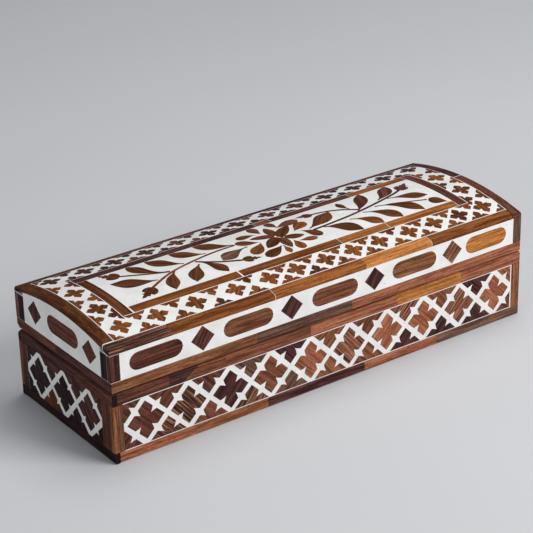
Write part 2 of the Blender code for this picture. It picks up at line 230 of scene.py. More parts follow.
def wood(name, dark, mid, light, figure=0.4, width=FIGURE_WIDTH, turn=None):
    """An oiled wood. figure is how sharply dark and pale bands part, from 0 to 1. A board with
    no stored grain is told how many degrees its pattern is turned from the box's length."""
    material, tree, shader = new_material(name)
    if turn is None:
        plank = add(tree, "Attribute", attribute_name="grain").node.outputs["Vector"]
    else:
        place = add(tree, "TexCoord").node.outputs["Object"]
        plank = add(tree, "Mapping", Vector=place, Rotation=(0, 0, math.radians(turn)))
    patterns = []
    for length, across, detail, distortion in (
            (FIGURE_LENGTH, width, 3, 0.5), (FIBRE_LENGTH, FIBRE_WIDTH, 2, 0),
            (PORE_LENGTH, PORE_WIDTH, 0, 0)):
        drawn_out = add(tree, "Mapping", Vector=plank, Scale=(1 / length, 1 / across, 1 / across))
        patterns.append(add(tree, "TexNoise", Vector=drawn_out, Scale=1, Detail=detail,
                            Distortion=distortion))
    bands, fibres, pores = patterns
    edge = BAND_EDGE * (1 - figure) + 0.02
    colour = linear(dark)
    for middle, paler in ((0.43, mid), (0.57, light)):
        band = add(tree, "MapRange", Value=bands, From_Min=middle - edge, From_Max=middle + edge)
        colour = add(tree, "Mix", band, colour, linear(paler), data_type="RGBA")
    fibre_shade = add(tree, "MapRange", Value=fibres, From_Min=0.3, From_Max=0.7,
                      To_Min=0.72, To_Max=1.28)
    pore_shade = add(tree, "MapRange", Value=pores, From_Min=0.62, From_Max=0.70, To_Min=1, To_Max=0.5)
    tone = add(tree, "Attribute", attribute_name="tone").node.outputs["Fac"]
    tone_shade = add(tree, "MapRange", Value=tone, To_Min=0.7, To_Max=1.3)
    shade = add(tree, "Math", fibre_shade, pore_shade, operation="MULTIPLY")
    shade = add(tree, "Math", shade, tone_shade, operation="MULTIPLY")
    colour = add(tree, "HueSaturation", Value=shade, Color=colour)
    satin = add(tree, "MapRange", Value=fibres, To_Min=0.48, To_Max=0.66)
    dents = add(tree, "Math", fibres, 0.4, pore_shade, operation="MULTIPLY_ADD")
    bump = add(tree, "Bump", Height=dents, Strength=0.5, Distance=PORE_DEPTH)
    fill(shader, Base_Color=colour, Roughness=satin, Normal=bump, IOR=1.45, Specular_IOR_Level=0.08)
    return material


wood_colours = {
    "black rosewood": ("#130B0D", "#271719", "#3B2325"),
    "dark rosewood": ("#2F1917", "#4A2B28", "#603B36"),
    "rosewood": ("#432319", "#5E362A", "#754739"),
    "striped rosewood": ("#26140F", "#54342A", "#94684F", 0.95, STRIPE_WIDTH),
    "walnut": ("#57311F", "#744630", "#8D5940"),
    "striped walnut": ("#351E18", "#7A4C38", "#A87257", 0.95, STRIPE_WIDTH),
    "grey walnut": ("#4A3327", "#64473A", "#7B5B4B"),
    "oiled walnut": ("#43220D", "#5A3218", "#704325"),
    "red sheesham": ("#6F3C28", "#925940", "#AC6F50"),
    "oiled sheesham": ("#5A2D0F", "#77421B", "#90572C"),
    "brown sheesham": ("#683E25", "#855437", "#9D6A48"),
    "golden sheesham": ("#764117", "#955829", "#AE6E39"),
    "teak": ("#965A28", "#B37138", "#C9884C"),
}
woods = {kind: wood(kind.replace(" ", "_"), *look) for kind, look in wood_colours.items()}
print(f"{len(woods)} kinds of wood")

# %% [markdown]
# ## End grain
# Where a batten is sawn across, the open ends of its pores drink oil and go nearly black,
# and they show as dots, so the pattern is small round cells instead of long streaks.

# %% The sawn ends
PORE_SPACING = 0.7 * MM

oiled_end_grain, tree, shader = new_material("oiled_end_grain")
place = add(tree, "TexCoord").node.outputs["Object"]
cells = add(tree, "TexVoronoi", Vector=place, Scale=1 / PORE_SPACING)
dots = add(tree, "MapRange", Value=cells, From_Min=0.1, From_Max=0.45)
colour = add(tree, "Mix", dots, linear("#0A0607"), linear("#1F1315"), data_type="RGBA")
bump = add(tree, "Bump", Height=dots, Strength=0.4, Distance=PORE_DEPTH)
fill(shader, Base_Color=colour, Normal=bump, Roughness=0.7, Specular_IOR_Level=0.1)

# %% [markdown]
# ## Bone-white resin
# The pale ground is polyester resin filled with bone or stone dust, and sanded with the
# tiles. It is nearly white with faint clouds of dust, a few pits where air bubbles were cut
# open, and fine sanding marks, so its shine is soft and a little uneven.

# %% The resin ground
CLOUD_SIZE = 11 * MM
PIT_SPACING = 4.5 * MM
SANDING_LENGTH, SANDING_WIDTH = 14 * MM, 0.5 * MM

resin, tree, shader = new_material("bone_white_resin")
place = add(tree, "TexCoord").node.outputs["Object"]
clouds = add(tree, "TexNoise", Vector=place, Scale=1 / CLOUD_SIZE, Detail=5)
cells = add(tree, "TexVoronoi", Vector=place, Scale=1 / PIT_SPACING)
pits = add(tree, "MapRange", Value=cells, From_Min=0.05, From_Max=0.09)
drawn_out = add(tree, "Mapping", Vector=place,
                Scale=(1 / SANDING_LENGTH, 1 / SANDING_WIDTH, 1 / SANDING_WIDTH))
marks = add(tree, "TexNoise", Vector=drawn_out, Scale=1, Detail=2)
spread = add(tree, "MapRange", Value=clouds, From_Min=0.35, From_Max=0.65)
ground = add(tree, "Mix", spread, linear("#E3E2DD"), linear("#EFEEEC"), data_type="RGBA")
pitted = add(tree, "Mix", pits, linear("#A89F92"), ground, data_type="RGBA")
soft_shine = add(tree, "MapRange", Value=marks, To_Min=0.36, To_Max=0.54)
heights = add(tree, "Math", marks, 0.15, pits, operation="MULTIPLY_ADD")
bump = add(tree, "Bump", Height=heights, Strength=0.4, Distance=PORE_DEPTH)
fill(shader, Base_Color=pitted, Roughness=soft_shine, Normal=bump, IOR=1.55)

# %% [markdown]
# ## Battens sawn to length
# Each batten is a row of short lengths of different woods butted end to end, and here and
# there a joint was filled with white resin. The frame holds each batten whole. It is copied
# once for each length and sawn at both ends, so every bevel and arch is kept.

# %% Sawing the battens
JOINT = 0.08
ALONG = {"x": Vector((1, 0, 0)), "y": Vector((0, 1, 0)), "z": Vector((0, 0, 1))}
START = {"x": -LENGTH / 2, "y": -WIDTH / 2}
SQUARE_ON = 0.95
ENDS_HIDDEN = "lid_arch_strip_right"
PALER = "base_bottom_strip_front"


def cover_ends(obj, along):
    """Gives the sawn ends their end grain."""
    obj.data.materials.append(oiled_end_grain)
    for face in obj.data.polygons:
        if abs(face.normal.dot(along)) > SQUARE_ON:
            face.material_index = len(obj.data.materials) - 1


def saw_batten(node, lengths):
    """Saws a batten into lengths. Each is where it ends, in mm from the left or front, its wood,
    and for a scarf joint the angle in degrees that its far end is sawn at."""
    axis = "x" if node.endswith(("front", "back")) else "y"
    along = ALONG[axis]
    middle = sum(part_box(node), Vector()) / 2
    middle -= along * middle.dot(along)
    start, start_cut = None, along
    for number, (end, kind, *slant) in enumerate(lengths, 1):
        cut = Matrix.Rotation(math.radians(sum(slant)), 3, "Y") @ along
        piece = copy_of(node, f"{node}_length_{number}")
        if start is not None:
            saw(piece, middle + along * (START[axis] + start + JOINT / 2) * MM, -start_cut)
        if number < len(lengths):
            saw(piece, middle + along * (START[axis] + end - JOINT / 2) * MM, cut)
        if kind == "resin":
            piece.data.materials.append(resin)
        else:
            tone = 0.8 if node == PALER else 0.5
            cut_from(kind, piece, along, tone + dice.uniform(-0.15, 0.15))
            if node != ENDS_HIDDEN:
                cover_ends(piece, along)
        set_in(piece, node.split("_")[0], "batten_walnut", node)
        start, start_cut = end, cut


base_battens = {
    "base_bottom_strip_front": [
        (55, "red sheesham"), (106, "brown sheesham"), (178.5, "dark rosewood"), (236.5, "red sheesham"),
        (LENGTH, "grey walnut")],
    "base_top_strip_front": [
        (38, "rosewood"), (52.5, "dark rosewood", 58), (77, "walnut"), (138, "walnut"),
        (204, "red sheesham"), (255.5, "teak"), (LENGTH, "red sheesham")],
    "base_bottom_strip_left": [(61, "black rosewood"), (WIDTH, "black rosewood")],
    "base_top_strip_left": [(40, "rosewood"), (WIDTH, "dark rosewood")],
    "base_bottom_strip_right": [(47, "walnut"), (WIDTH, "rosewood")],
    "base_top_strip_right": [(66, "rosewood"), (WIDTH, "walnut")],
    "base_bottom_strip_back": [
        (66, "walnut"), (129, "brown sheesham"), (197, "red sheesham"), (250, "rosewood"),
        (LENGTH, "walnut")],
    "base_top_strip_back": [
        (48, "red sheesham"), (102, "walnut"), (169, "rosewood"), (233, "brown sheesham"),
        (LENGTH, "dark rosewood")],
}
for node, lengths in base_battens.items():
    saw_batten(node, lengths)
print("lengths of batten round the base:", sum(map(len, base_battens.values())))

# %% The lid's battens
lid_battens = {
    "lid_bottom_strip_front": [
        (47.8, "brown sheesham"), (99.5, "brown sheesham"), (169, "grey walnut"), (241, "red sheesham"),
        (LENGTH, "red sheesham")],
    "lid_bottom_strip_left": [(60, "dark rosewood"), (WIDTH, "rosewood")],
    "lid_bottom_strip_right": [(52, "rosewood"), (WIDTH, "walnut")],
    "lid_bottom_strip_back": [
        (58, "walnut"), (121, "red sheesham"), (186, "brown sheesham"), (247, "grey walnut"),
        (LENGTH, "brown sheesham")],
    "lid_upper_strip_front": [
        (41, "striped rosewood"), (112.8, "oiled sheesham"), (113.1, "resin"),
        (180, "golden sheesham"), (231.3, "teak"), (231.6, "resin"), (LENGTH, "oiled sheesham")],
    "lid_upper_strip_back": [
        (74, "oiled walnut"), (142, "rosewood"), (214, "dark rosewood"), (LENGTH, "rosewood")],
    "lid_arch_strip_left": [(7.1, "resin"), (51.5, "oiled walnut"), (WIDTH, "oiled walnut")],
    "lid_arch_strip_right": [(56.6, "rosewood"), (57.1, "resin"), (WIDTH, "dark rosewood")],
}
for node, lengths in lid_battens.items():
    saw_batten(node, lengths)
print("lengths of batten round the lid:", sum(map(len, lid_battens.values())))

# %% [markdown]
# ## Corner posts
# A post is two slips of wood: one on the long side that runs out to the corner, and a wider
# one on the end that butts against its back. The L-shaped CAD post is sawn along that joint.
# Some posts lie on a bed of resin, a hair lower than the wood, which shows as thin white
# lines round the slips. The others were glued straight on.

# %% Splitting the posts and bedding them
SLIP = 3.0
GLUE_LINE = 0.35
BED_DEPTH = 0.12
BED_SPREAD = 0.5


def resin_bed(node, name, body, inward, spread):
    """A CAD node in resin, spread by so many mm each way and moved inward a little."""
    low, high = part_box(node)
    bed = copy_of(node, name)
    bed.data.materials.append(resin)
    start_editing(bed)
    growth = [(size + 2 * grow * MM) / size for size, grow in zip(high - low, spread)]
    bpy.ops.transform.resize(value=growth, center_override=(low + high) / 2)
    bpy.ops.transform.translate(value=Vector(inward) * MM)
    stop_editing()
    return set_in(bed, body, "bone_resin_inlay")


def slip_of(node, name, kind, cuts):
    """One slip: the CAD post, sawn at each cut, which is a point in mm and the way that is dropped."""
    slip = copy_of(node, f"{node}_{name}")
    for point, away in cuts:
        saw(slip, Vector(point) * MM, away)
    cut_from(kind, slip, ALONG["z"], dice.uniform(0.4, 0.6))
    return set_in(slip, node.split("_")[0], "post_walnut", node)


def split_post(body, corner, wood_long, wood_end, bedded=False, inner=None):
    """The slips on the long side and on the end. inner is a second, narrow slip's wood and width."""
    node = f"{body}_corner_post_{corner}"
    side = -1 if "front" in corner else 1
    end = -1 if "left" in corner else 1
    face = side * (WIDTH / 2 - SLIP)
    across, outward = ALONG["y"] * side, ALONG["x"] * end
    glued = GLUE_LINE if bedded else JOINT
    behind = ((0, face, 0), -across)
    if inner:
        kind, width = inner
        seam = end * (LENGTH / 2 - width)
        slip_of(node, "inner_slip", kind, [behind, ((seam - end * JOINT, 0, 0), outward)])
        slip_of(node, "long_side_slip", wood_long, [behind, ((seam, 0, 0), -outward)])
    else:
        slip_of(node, "long_side_slip", wood_long, [behind])
    slip_of(node, "end_slip", wood_end, [((0, face - side * glued, 0), across)])
    if bedded:
        inward = (-end * BED_DEPTH, -side * BED_DEPTH, 0)
        resin_bed(node, f"{node}_bed", body, inward, (0, 0, BED_SPREAD))


TAN_SLIP = 4.6
posts = {
    ("base", "front_left"): ("brown sheesham", "rosewood", False, ("grey walnut", TAN_SLIP)),
    ("base", "front_right"): ("brown sheesham", "rosewood"),
    ("base", "back_left"): ("walnut", "dark rosewood"),
    ("base", "back_right"): ("red sheesham", "rosewood"),
    ("lid", "front_left"): ("dark rosewood", "black rosewood", True),
    ("lid", "front_right"): ("grey walnut", "rosewood"),
    ("lid", "back_left"): ("walnut", "black rosewood", True),
    ("lid", "back_right"): ("rosewood", "walnut"),
}
for place, slips in posts.items():
    split_post(*place, *slips)
print(f"{len(posts)} corner posts")

# %% [markdown]
# ## The resin ground of the sides
# Behind the tiles each side panel is one slab of resin, which shrank a twentieth of a
# millimetre as it cured. The slab is the CAD panel, spread by the width of the working gap
# to meet the battens. On the base it isn't spread towards the posts, because the tiles run
# right up to the wood there.

# %% Side grounds
SHRINK = 0.05
FACING_WAY = {"front": (0, 1, 0), "back": (0, -1, 0), "left": (1, 0, 0), "right": (-1, 0, 0)}

for body in ("base", "lid"):
    for side, inward in FACING_WAY.items():
        node = f"{body}_{side}_inlay"
        along = BED_SPREAD if body == "lid" else 0.0
        up = 0.0 if body == "base" and inward[0] else BED_SPREAD
        spread = (0.0, along, up) if inward[0] else (along, 0.0, up)
        ground = resin_bed(node, f"{body}_{side}_ground", body, Vector(inward) * SHRINK, spread)
        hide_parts(node)
print("8 side panels of resin")

# %% [markdown]
# ## The arched top ground
# The top is one arched sheet of resin, with the tiles and the thin inner frame let into it and
# its edges tucked under the battens. It starts as a flat slab, which is cut across every few
# millimetres to give it something to bend at, and each point is then raised by the arch's
# height at its place. The arch's radius is worked out from its rise, as on a bench.

# %% The arch, and the sheet over it
ARCH_CUT = 2.5
TOP_THICKNESS = 3.0
TUCKED_UNDER = 0.3

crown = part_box("lid_centre_inlay")[1].z / MM
panel_points = [v.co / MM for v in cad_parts["lid_border_inlay"].data.vertices]
rim_point = max(panel_points, key=lambda p: (round(abs(p.y), 2), p.z))
rise = crown - rim_point.z
arch_radius = (rim_point.y ** 2 + rise ** 2) / (2 * rise)
print(f"the arch has a radius of {arch_radius:.1f} mm")


def arch(y):
    """Height of the lid's top surface, y mm from its middle line."""
    return crown - arch_radius + math.sqrt(arch_radius ** 2 - y ** 2)


def lay_over_arch(obj):
    """Cuts a flat mesh across every few millimetres and raises it on to the arch."""
    start_editing(obj)
    reach = int(WIDTH / 2 / ARCH_CUT)
    for step in range(-reach, reach + 1):
        bpy.ops.mesh.select_all(action="SELECT")
        bpy.ops.mesh.bisect(plane_co=(0, step * ARCH_CUT * MM, 0), plane_no=(0, 1, 0))
    stop_editing()
    for vertex in obj.data.vertices:
        vertex.co.z += arch(vertex.co.y / MM) * MM


def block(name, low, high):
    """A sawn block between two corners in mm."""
    low, high = Vector(low) * MM, Vector(high) * MM
    only()
    bpy.ops.mesh.primitive_cube_add(size=1, location=(low + high) / 2, scale=high - low)
    made = bpy.context.object
    made.name = name
    bpy.ops.object.transform_apply()
    return made


reach_x = -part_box("lid_arch_strip_left")[1].x / MM + TUCKED_UNDER
reach_y = -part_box("lid_upper_strip_front")[1].y / MM + TUCKED_UNDER
top_ground = block("lid_top_ground", (-reach_x, -reach_y, -TOP_THICKNESS), (reach_x, reach_y, -SHRINK))
top_ground.data.materials.append(resin)
lay_over_arch(top_ground)
set_in(top_ground, "lid", "bone_resin_inlay", "lid_border_inlay", "lid_centre_inlay")

# %% [markdown]
# ## The thin inner frame
# Four bars part the border from the flower panel. They are butted, not mitred: the far bar
# runs over the left one, the right one runs past both long bars, and the near bar sits
# between the two with a white joint. The long bars are several lengths each.

# %% Inner frame bars
frame_low, frame_high = (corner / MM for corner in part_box("lid_inner_frame"))
BAR = 7.0
BAR_THICKNESS = 1.5
EASE = 0.15
left_x, right_x = frame_low.x, frame_high.x
near_y, far_y = frame_low.y, frame_high.y


def from_left(x):
    """The x of a place that is so many mm from the left end."""
    return x - LENGTH / 2


def from_front(y):
    """The y of a place that is so many mm from the front."""
    return y - WIDTH / 2


def frame_bar(name, low, high, along, kind):
    """One length of the inner frame, bent over the arch."""
    bar = block(name, (*low, -BAR_THICKNESS), (*high, 0))
    modify(bar, "BEVEL", width=EASE * MM, segments=1)
    cut_from(kind, bar, ALONG[along], dice.uniform(0.4, 0.6))
    lay_over_arch(bar)
    return set_in(bar, "lid", "batten_walnut", "lid_inner_frame")


WHITE_JOINT = 0.8
near_lengths = [(107, "oiled sheesham"), (181, "oiled sheesham"), (218.5, "golden sheesham"),
                (None, "golden sheesham")]
far_lengths = [(154, "dark rosewood"), (166, "walnut"), (228, "rosewood"), (None, "golden sheesham")]
for row, y, start, first_joint, lengths in (
        ("near", near_y, left_x + BAR + WHITE_JOINT, WHITE_JOINT, near_lengths),
        ("far", far_y - BAR, left_x, JOINT, far_lengths)):
    for number, (end, kind) in enumerate(lengths, 1):
        end_x = right_x - BAR - JOINT if end is None else from_left(end)
        frame_bar(f"inner_frame_{row}_{number}", (start, y), (end_x, y + BAR), "x", kind)
        start = end_x + (first_joint if number == 1 else JOINT)
left_end = far_y - BAR - JOINT
frame_bar("inner_frame_left", (left_x, near_y), (left_x + BAR, left_end), "y", "oiled walnut")
frame_bar("inner_frame_right", (right_x - BAR, near_y), (right_x, far_y), "y", "rosewood")

# %% [markdown]
# ## Fretsawn tiles
# A tile is drawn as a flat closed outline and cut out with a fretsaw. Here the outline is a
# flat curve with a thickness, turned into a mesh. A panel's tiles are joined lying flat, and
# then stood up against their side or laid over the arch.

# %% From outline to tile
TILE_THICKNESS = 0.7
SMALLEST = 0.05
TURN = {"front": 0, "right": 90, "back": 180, "left": -90}


def trimmed(outline, low, high):
    """The part of an outline that lies between two corners."""
    for axis in (0, 1):
        for bound, sign in ((low[axis], 1), (high[axis], -1)):
            kept = []
            for a, b in zip(outline, outline[1:] + outline[:1]):
                a_in = sign * (a[axis] - bound) >= 0
                b_in = sign * (b[axis] - bound) >= 0
                if a_in:
                    kept.append(a)
                if a_in != b_in:
                    share = (bound - a[axis]) / (b[axis] - a[axis])
                    kept.append((a[0] + (b[0] - a[0]) * share, a[1] + (b[1] - a[1]) * share))
            outline = kept
    return [p for i, p in enumerate(outline) if math.dist(p, outline[i - 1]) > SMALLEST]


def cut_tiles(name, tiles):
    """Cuts the tiles of one panel, lying flat with their tops at height 0, as one object."""
    made = []
    for number, (outline, kind, angle) in enumerate(tiles, 1):
        curve = bpy.data.curves.new(f"{name}_{number}", "CURVE")
        curve.dimensions = "2D"
        curve.fill_mode = "BOTH"
        curve.extrude = TILE_THICKNESS / 2 * MM
        spline = curve.splines.new("POLY")
        spline.points.add(len(outline) - 1)
        for point, (x, y) in zip(spline.points, outline):
            point.co = (x * MM, y * MM, 0, 1)
        spline.use_cyclic_u = True
        tile = bpy.data.objects.new(f"{name}_{number}", curve)
        bpy.context.collection.objects.link(tile)
        made.append(tile)
    only(*made)
    bpy.ops.object.convert(target="MESH")
    for tile, (outline, kind, angle) in zip(made, tiles):
        turn = math.radians(angle)
        cut_from(kind, tile, (math.cos(turn), math.sin(turn), 0), dice.uniform(0.25, 0.75))
    only(*made)
    bpy.ops.object.join()
    panel = bpy.context.object
    panel.name = name
    start_editing(panel)
    bpy.ops.mesh.remove_doubles(threshold=MERGE)
    bpy.ops.mesh.normals_make_consistent(inside=False)
    bpy.ops.transform.translate(value=(0, 0, -TILE_THICKNESS / 2 * MM))
    stop_editing()
    return panel


def lay_side(body, side, tiles):
    """Cuts a side's tiles and stands them up against that side of the box."""
    panel = cut_tiles(f"{body}_{side}_tiles", tiles)
    reach = (WIDTH if side in ("front", "back") else LENGTH) / 2 * MM
    turn = Matrix.Rotation(math.radians(TURN[side]), 4, "Z")
    upright = Matrix.Rotation(math.radians(90), 4, "X")
    panel.matrix_world = turn @ Matrix.Translation((0, -reach, 0)) @ upright
    only(panel)
    bpy.ops.object.transform_apply()
    set_in(panel, body, "batten_walnut")


def lay_top(name, tiles):
    """Cuts tiles of the lid's top and bends them over the arch."""
    panel = cut_tiles(name, tiles)
    lay_over_arch(panel)
    set_in(panel, "lid", "batten_walnut")


# %% [markdown]
# ## Lattice tiles
# The base shows a lattice of white bars, and between them rhombs of wood with a thorn-shaped
# notch in each side. One outline serves them all: the half tiles along the top and bottom
# are the same rhomb, trimmed. Each tile is turned and shifted by a trace, as handwork is.

# %% The notched rhomb, and a panel of them
FLANK = 0.2
SHIFTED, RESIZED, TURNED = 0.3, 0.25, 1.5
PAST_EDGE = 0.2


def notched_rhomb(centre, half, mouth, depth, turn=0.0):
    """A rhomb with its corners on the axes and a thorn cut into each side's middle."""
    corners = [Vector((half[0], 0)), Vector((0, half[1])), Vector((-half[0], 0)), Vector((0, -half[1]))]
    outline = []
    for a, b in zip(corners, corners[1:] + corners[:1]):
        middle = (a + b) / 2
        edge = (b - a).normalized()
        inward = -middle.normalized()
        outline += [a, middle - edge * mouth / 2,
                    middle - edge * mouth * FLANK + inward * depth * 0.5, middle + inward * depth,
                    middle + edge * mouth * FLANK + inward * depth * 0.5, middle + edge * mouth / 2]
    spin = Matrix.Rotation(math.radians(turn), 2)
    return [tuple(spin @ point + Vector(centre)) for point in outline]


def lattice(low, high, first, pitch, half, thorn, rows):
    """Tiles between two corners: a full row from first on, and half tiles above and below it."""
    middle = (low[1] + high[1]) / 2
    up = (high[1] - low[1]) / 2 + PAST_EDGE
    full, upper, lower = rows
    places = [(first + k * pitch, middle, kind) for k, kind in enumerate(full)]
    for y, row in ((middle + up, upper), (middle - up, lower)):
        places += [(first + (k - 0.5) * pitch, y, kind) for k, kind in enumerate(row)]
    tiles = []
    for x, y, kind in places:
        x += dice.uniform(-SHIFTED, SHIFTED)
        spot = (x, y + (dice.uniform(-SHIFTED, SHIFTED) if y == middle else 0))
        size = [h + dice.uniform(-RESIZED, RESIZED) for h in half]
        mouth, depth = (t * dice.uniform(0.9, 1.1) for t in thorn)
        rhomb = notched_rhomb(spot, size, mouth, depth, dice.uniform(-TURNED, TURNED))
        outline = trimmed(rhomb, low, high)
        if len(outline) > 2:
            tiles.append((outline, kind, dice.choice((-50, -45, 45, 50))))
    return tiles


EDGE_LINE = 0.2
POST_LINE = 0.9
NO_LINE = -0.12
front_rows = (
    ["rosewood", "striped rosewood", "dark rosewood", "walnut", "red sheesham", "striped walnut",
     "red sheesham", "red sheesham", "striped walnut", "red sheesham"],
    ["rosewood", "rosewood", "rosewood", "grey walnut", "dark rosewood", "brown sheesham", "walnut",
     "striped walnut", "walnut", "dark rosewood", "red sheesham"],
    ["rosewood", "striped rosewood", "walnut", "striped rosewood", "grey walnut", "brown sheesham",
     "walnut", "dark rosewood", "dark rosewood", "dark rosewood", "rosewood"])
end_rows = (
    ["dark rosewood", "black rosewood", "black rosewood"],
    ["dark rosewood", "dark rosewood", "dark rosewood", "black rosewood"],
    ["black rosewood", "black rosewood", "oiled walnut", "black rosewood"])


def panel_field(node, long_side, line):
    """The lower and upper corner of a panel's tiles, as they lie flat."""
    low, high = (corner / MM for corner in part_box(node))
    reach = (low.x, high.x) if long_side else (low.y, high.y)
    return (reach[0], low.z + line), (reach[1], high.z - line)


low, high = panel_field("base_front_inlay", True, EDGE_LINE)
for side in ("front", "back"):
    tiles = lattice((low[0] + NO_LINE, low[1]), (high[0] - POST_LINE, high[1]), from_left(21.3),
                    pitch=29.1, half=(12.3, 12.5), thorn=(3.8, 3.9), rows=front_rows)
    lay_side("base", side, tiles)

low, high = panel_field("base_left_inlay", False, NO_LINE)
END_PITCH = 28.1
for side, mirror in (("left", -1), ("right", 1)):
    ends = sorted((mirror * (low[0] + NO_LINE), mirror * (high[0] - EDGE_LINE)))
    rows = [row[::-1] for row in end_rows] if side == "left" else [row[2:6] for row in front_rows]
    tiles = lattice((ends[0], low[1]), (ends[1], high[1]), sum(ends) / 2 - END_PITCH, END_PITCH,
                    half=(12.2, 12.6), thorn=(2.9, 2.5), rows=(rows[0][:3], rows[1], rows[2]))
    lay_side("base", side, tiles)
print("lattice tiles on all four sides of the base")

# %% [markdown]
# ## Bars and diamonds round the lid
# The lid's sides carry long bars with a diamond between each two. A bar's ends are half
# ellipses, a little flatter than a half circle, as a rasp leaves them.

# %% Bars and diamonds
END_STEPS = 8


def round_bar(centre, length, height, end):
    """A bar with half-elliptical ends."""
    outline = []
    for sign in (1, -1):
        for step in range(END_STEPS + 1):
            angle = math.pi * (step / END_STEPS - 0.5)
            x = sign * (length / 2 - end + end * math.cos(angle))
            outline.append((centre[0] + x, centre[1] + sign * height / 2 * math.sin(angle)))
    return outline


def diamond(centre, half):
    """A square tile standing on its corner."""
    x, y = centre
    return [(x + half, y), (x, y + half), (x - half, y), (x, y - half)]


BAR_HEIGHT = 11.2
BAR_END = 5.9
COURSE_MIDDLE = 60.4
front_bars = [(12.6, 48.1, "rosewood"), (76.1, 111, "walnut"), (139.4, 173.6, "walnut"),
              (200.2, 234.9, "brown sheesham"), (258.8, 292.4, "teak")]
front_diamonds = [(61.7, 8.0, "rosewood"), (124.5, 7.9, "dark rosewood"), (186.4, 7.6, "dark rosewood"),
                  (247.7, 7.9, "striped walnut")]
for side in ("front", "back"):
    tiles = []
    for start, end, kind in front_bars:
        centre = (from_left((start + end) / 2), COURSE_MIDDLE)
        tiles.append((round_bar(centre, end - start, BAR_HEIGHT, BAR_END), kind, dice.uniform(-3, 3)))
    for x, half, kind in front_diamonds:
        tiles.append((diamond((from_left(x), COURSE_MIDDLE), half), kind, dice.choice((45, 60))))
    lay_side("lid", side, tiles)

END_BAR = ((51.2, 63.6), 34.6, 11.5)
END_DIAMONDS = [((21.8, 62.7), "rosewood"), ((83.2, 63.0), "dark rosewood")]
END_DIAMOND = 7.7
for side, mirror in (("left", -1), ("right", 1)):
    (y, z), length, height = END_BAR
    tiles = [(round_bar((mirror * from_front(y), z), length, height, BAR_END), "rosewood", 0)]
    for (y, z), kind in END_DIAMONDS:
        tiles.append((diamond((mirror * from_front(y), z), END_DIAMOND), kind, 90))
    lay_side("lid", side, tiles)
print("bars and diamonds on all four sides of the lid")

# %% [markdown]
# ## The border of crosses
# Round the top runs a border of small crosses, the base's notched rhomb at about half its
# size, with half crosses along both edges. They were set out by eye, so they are not quite
# evenly spaced, and their places are simply listed, in mm from the left end or the front.

# %% Border tiles
CROSS = 7.3
CROSS_MOUTH, CROSS_DEPTH = 2.6, 2.3
BATTEN_LINE, FRAME_LINE = 0.5, 0.4
crosses = {
    "near": [42, 68, 95.5, 119.5, 139.5, 161, 182, 202.5, 225.5, 246, 266],
    "far": [39, 60, 82, 104.5, 127.5, 149, 172.5, 195, 218, 241, 266],
    "left": [38, 63], "right": [39.5, 64]}
half_crosses = {
    "near": [31, 55.5, 81.5, 106.5, 130, 150, 171, 192.5, 214, 235, 257, 277],
    "far": [28, 50, 71, 93, 116, 138, 160, 183, 207, 229, 253, 276],
    "left": [28, 50, 76], "right": [27, 52, 76]}
corner_crosses = [(18.3, 16.2), (286.5, 15.8), (16.3, 91.0), (288.5, 91.5)]
border_woods = {
    "near": ["oiled sheesham", "oiled sheesham", "oiled walnut", "oiled sheesham"],
    "far": ["dark rosewood", "dark rosewood", "rosewood"],
    "left": ["oiled walnut", "oiled sheesham"], "right": ["oiled sheesham", "oiled walnut"]}

outer_low = (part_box("lid_arch_strip_left")[1].x / MM + BATTEN_LINE,
             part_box("lid_upper_strip_front")[1].y / MM + BATTEN_LINE)
outer_high = (-outer_low[0], -outer_low[1])
edges = {"near": (outer_low[1], near_y), "far": (outer_high[1], far_y),
         "left": (outer_low[0], left_x), "right": (outer_high[0], right_x)}
border = []


def lay_cross(side, centre, low=outer_low, high=outer_high):
    """Adds one cross to the border, or what is left of it between two corners."""
    spot = [c + dice.uniform(-0.25, 0.25) for c in centre]
    size = (CROSS * dice.uniform(0.96, 1.04), CROSS * dice.uniform(0.94, 1.03))
    outline = notched_rhomb(spot, size, CROSS_MOUTH, CROSS_DEPTH, dice.uniform(-3, 3))
    kind, angle = dice.choice(border_woods[side]), dice.choice((45, 60, 80, -50))
    border.append((trimmed(outline, low, high), kind, angle))


def border_point(side, place, level):
    """The point that is place mm along a side of the border, and level mm from the middle."""
    return (from_left(place), level) if side in ("near", "far") else (level, from_front(place))


for side, (outer, inner) in edges.items():
    for place in crosses[side]:
        lay_cross(side, border_point(side, place, (outer + inner) / 2))
for x, y in corner_crosses:
    lay_cross("near" if y < WIDTH / 2 else "far", (from_left(x), from_front(y)))
for side, (outer, inner) in edges.items():
    inner += math.copysign(FRAME_LINE, outer)
    limits = [list(outer_low), list(outer_high)]
    limits[outer < 0][side in ("near", "far")] = inner
    for place in half_crosses[side]:
        lay_cross(side, border_point(side, place, outer))
        lay_cross(side, border_point(side, place, inner), *limits)
for side in ("near", "far"):
    for x in (outer_low[0], outer_high[0]):
        lay_cross(side, (x, edges[side][0]))
border = [tile for tile in border if len(tile[0]) > 2]
lay_top("lid_border_tiles", border)
print(f"{len(border)} crosses and part crosses in the border")

# %% [markdown]
# ## The flower panel
# A flower with six petals lies in a ring of drops, and a spray of leaves runs out to each
# side on a thin stem. Each shape is a stroke: a slightly bowed line from its root to its
# tip. Leaf, petal, drop and bud differ only in how its width swells and fades, so each is a
# short rule, and the panel is a list of them.

# %% Strokes: leaf, petal, drop, bud and stem
STROKE_STEPS = 16
TAIL = 0.6


def ribbon(points, headings, half_widths):
    """Outline of a strip: each point is set out to both sides of the way that it heads."""
    sides = [Vector((-h.y, h.x)).normalized() * half for h, half in zip(headings, half_widths)]
    one_side = [tuple(point + side) for point, side in zip(points, sides)]
    other_side = [tuple(point - side) for point, side in zip(points, sides)]
    return one_side + other_side[::-1]


